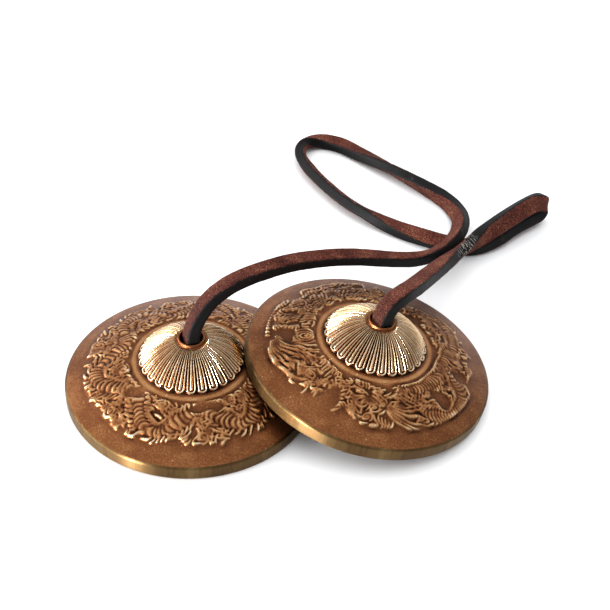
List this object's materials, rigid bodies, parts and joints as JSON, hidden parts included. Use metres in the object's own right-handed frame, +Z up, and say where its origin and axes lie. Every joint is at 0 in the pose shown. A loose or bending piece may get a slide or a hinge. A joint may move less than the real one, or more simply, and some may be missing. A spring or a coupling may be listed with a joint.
{
  "type": "finger cymbals",
  "caption": "Two thick cast-bronze finger cymbals with lotus-petal domes and a low relief ring, joined by one leather thong knotted inside each bell.",
  "frame": {"origin": "on the floor, under the middle of the two bells' common box", "axes": "+X from the flat left bell to the leaning right bell, +Y towards the hand loop, +Z up"},
  "size_m": [0.1323, 0.152, 0.0303],
  "materials": {
    "bronze": "cast bronze with a fine grain, turned and brushed on the rim band",
    "leather": "reddish-brown suede faces and near-black smooth edges"
  },
  "bodies": {
    "strap": {"strap_left_run": "leather", "strap_hand_loop": "leather", "strap_tip_loop": "leather", "strap_right_run": "leather"},
    "left_knot": {"knot_left": "leather"},
    "left_cymbal": {"cymbal_left": "bronze"},
    "right_knot": {"knot_right": "leather"},
    "right_cymbal": {"cymbal_right": "bronze"}
  },
  "joints": [
    {"name": "left_swing", "type": "hinge", "parent": "strap", "child": "left_knot", "pos_m": [-0.02216, -0.00274, 0.0171], "axis": [-0.6749, 0.7379, 0], "range_deg": [0, 60], "deforming": ["strap_left_run"]},
    {"name": "left_spin", "type": "hinge", "parent": "left_knot", "child": "left_cymbal", "pos_m": [-0.02216, -0.00274, 0.0171], "axis": [0, 0, 1], "continuous": true},
    {"name": "right_swing", "type": "hinge", "parent": "strap", "child": "right_knot", "pos_m": [0.025, 0.00305, 0.022], "axis": [-0.1219, 0.9925, 0], "range_deg": [0, 60], "deforming": ["strap_right_run"]},
    {"name": "right_spin", "type": "hinge", "parent": "right_knot", "child": "right_cymbal", "pos_m": [0.025, 0.00305, 0.022], "axis": [0.1604, 0.0197, 0.9869], "continuous": true}
  ]
}
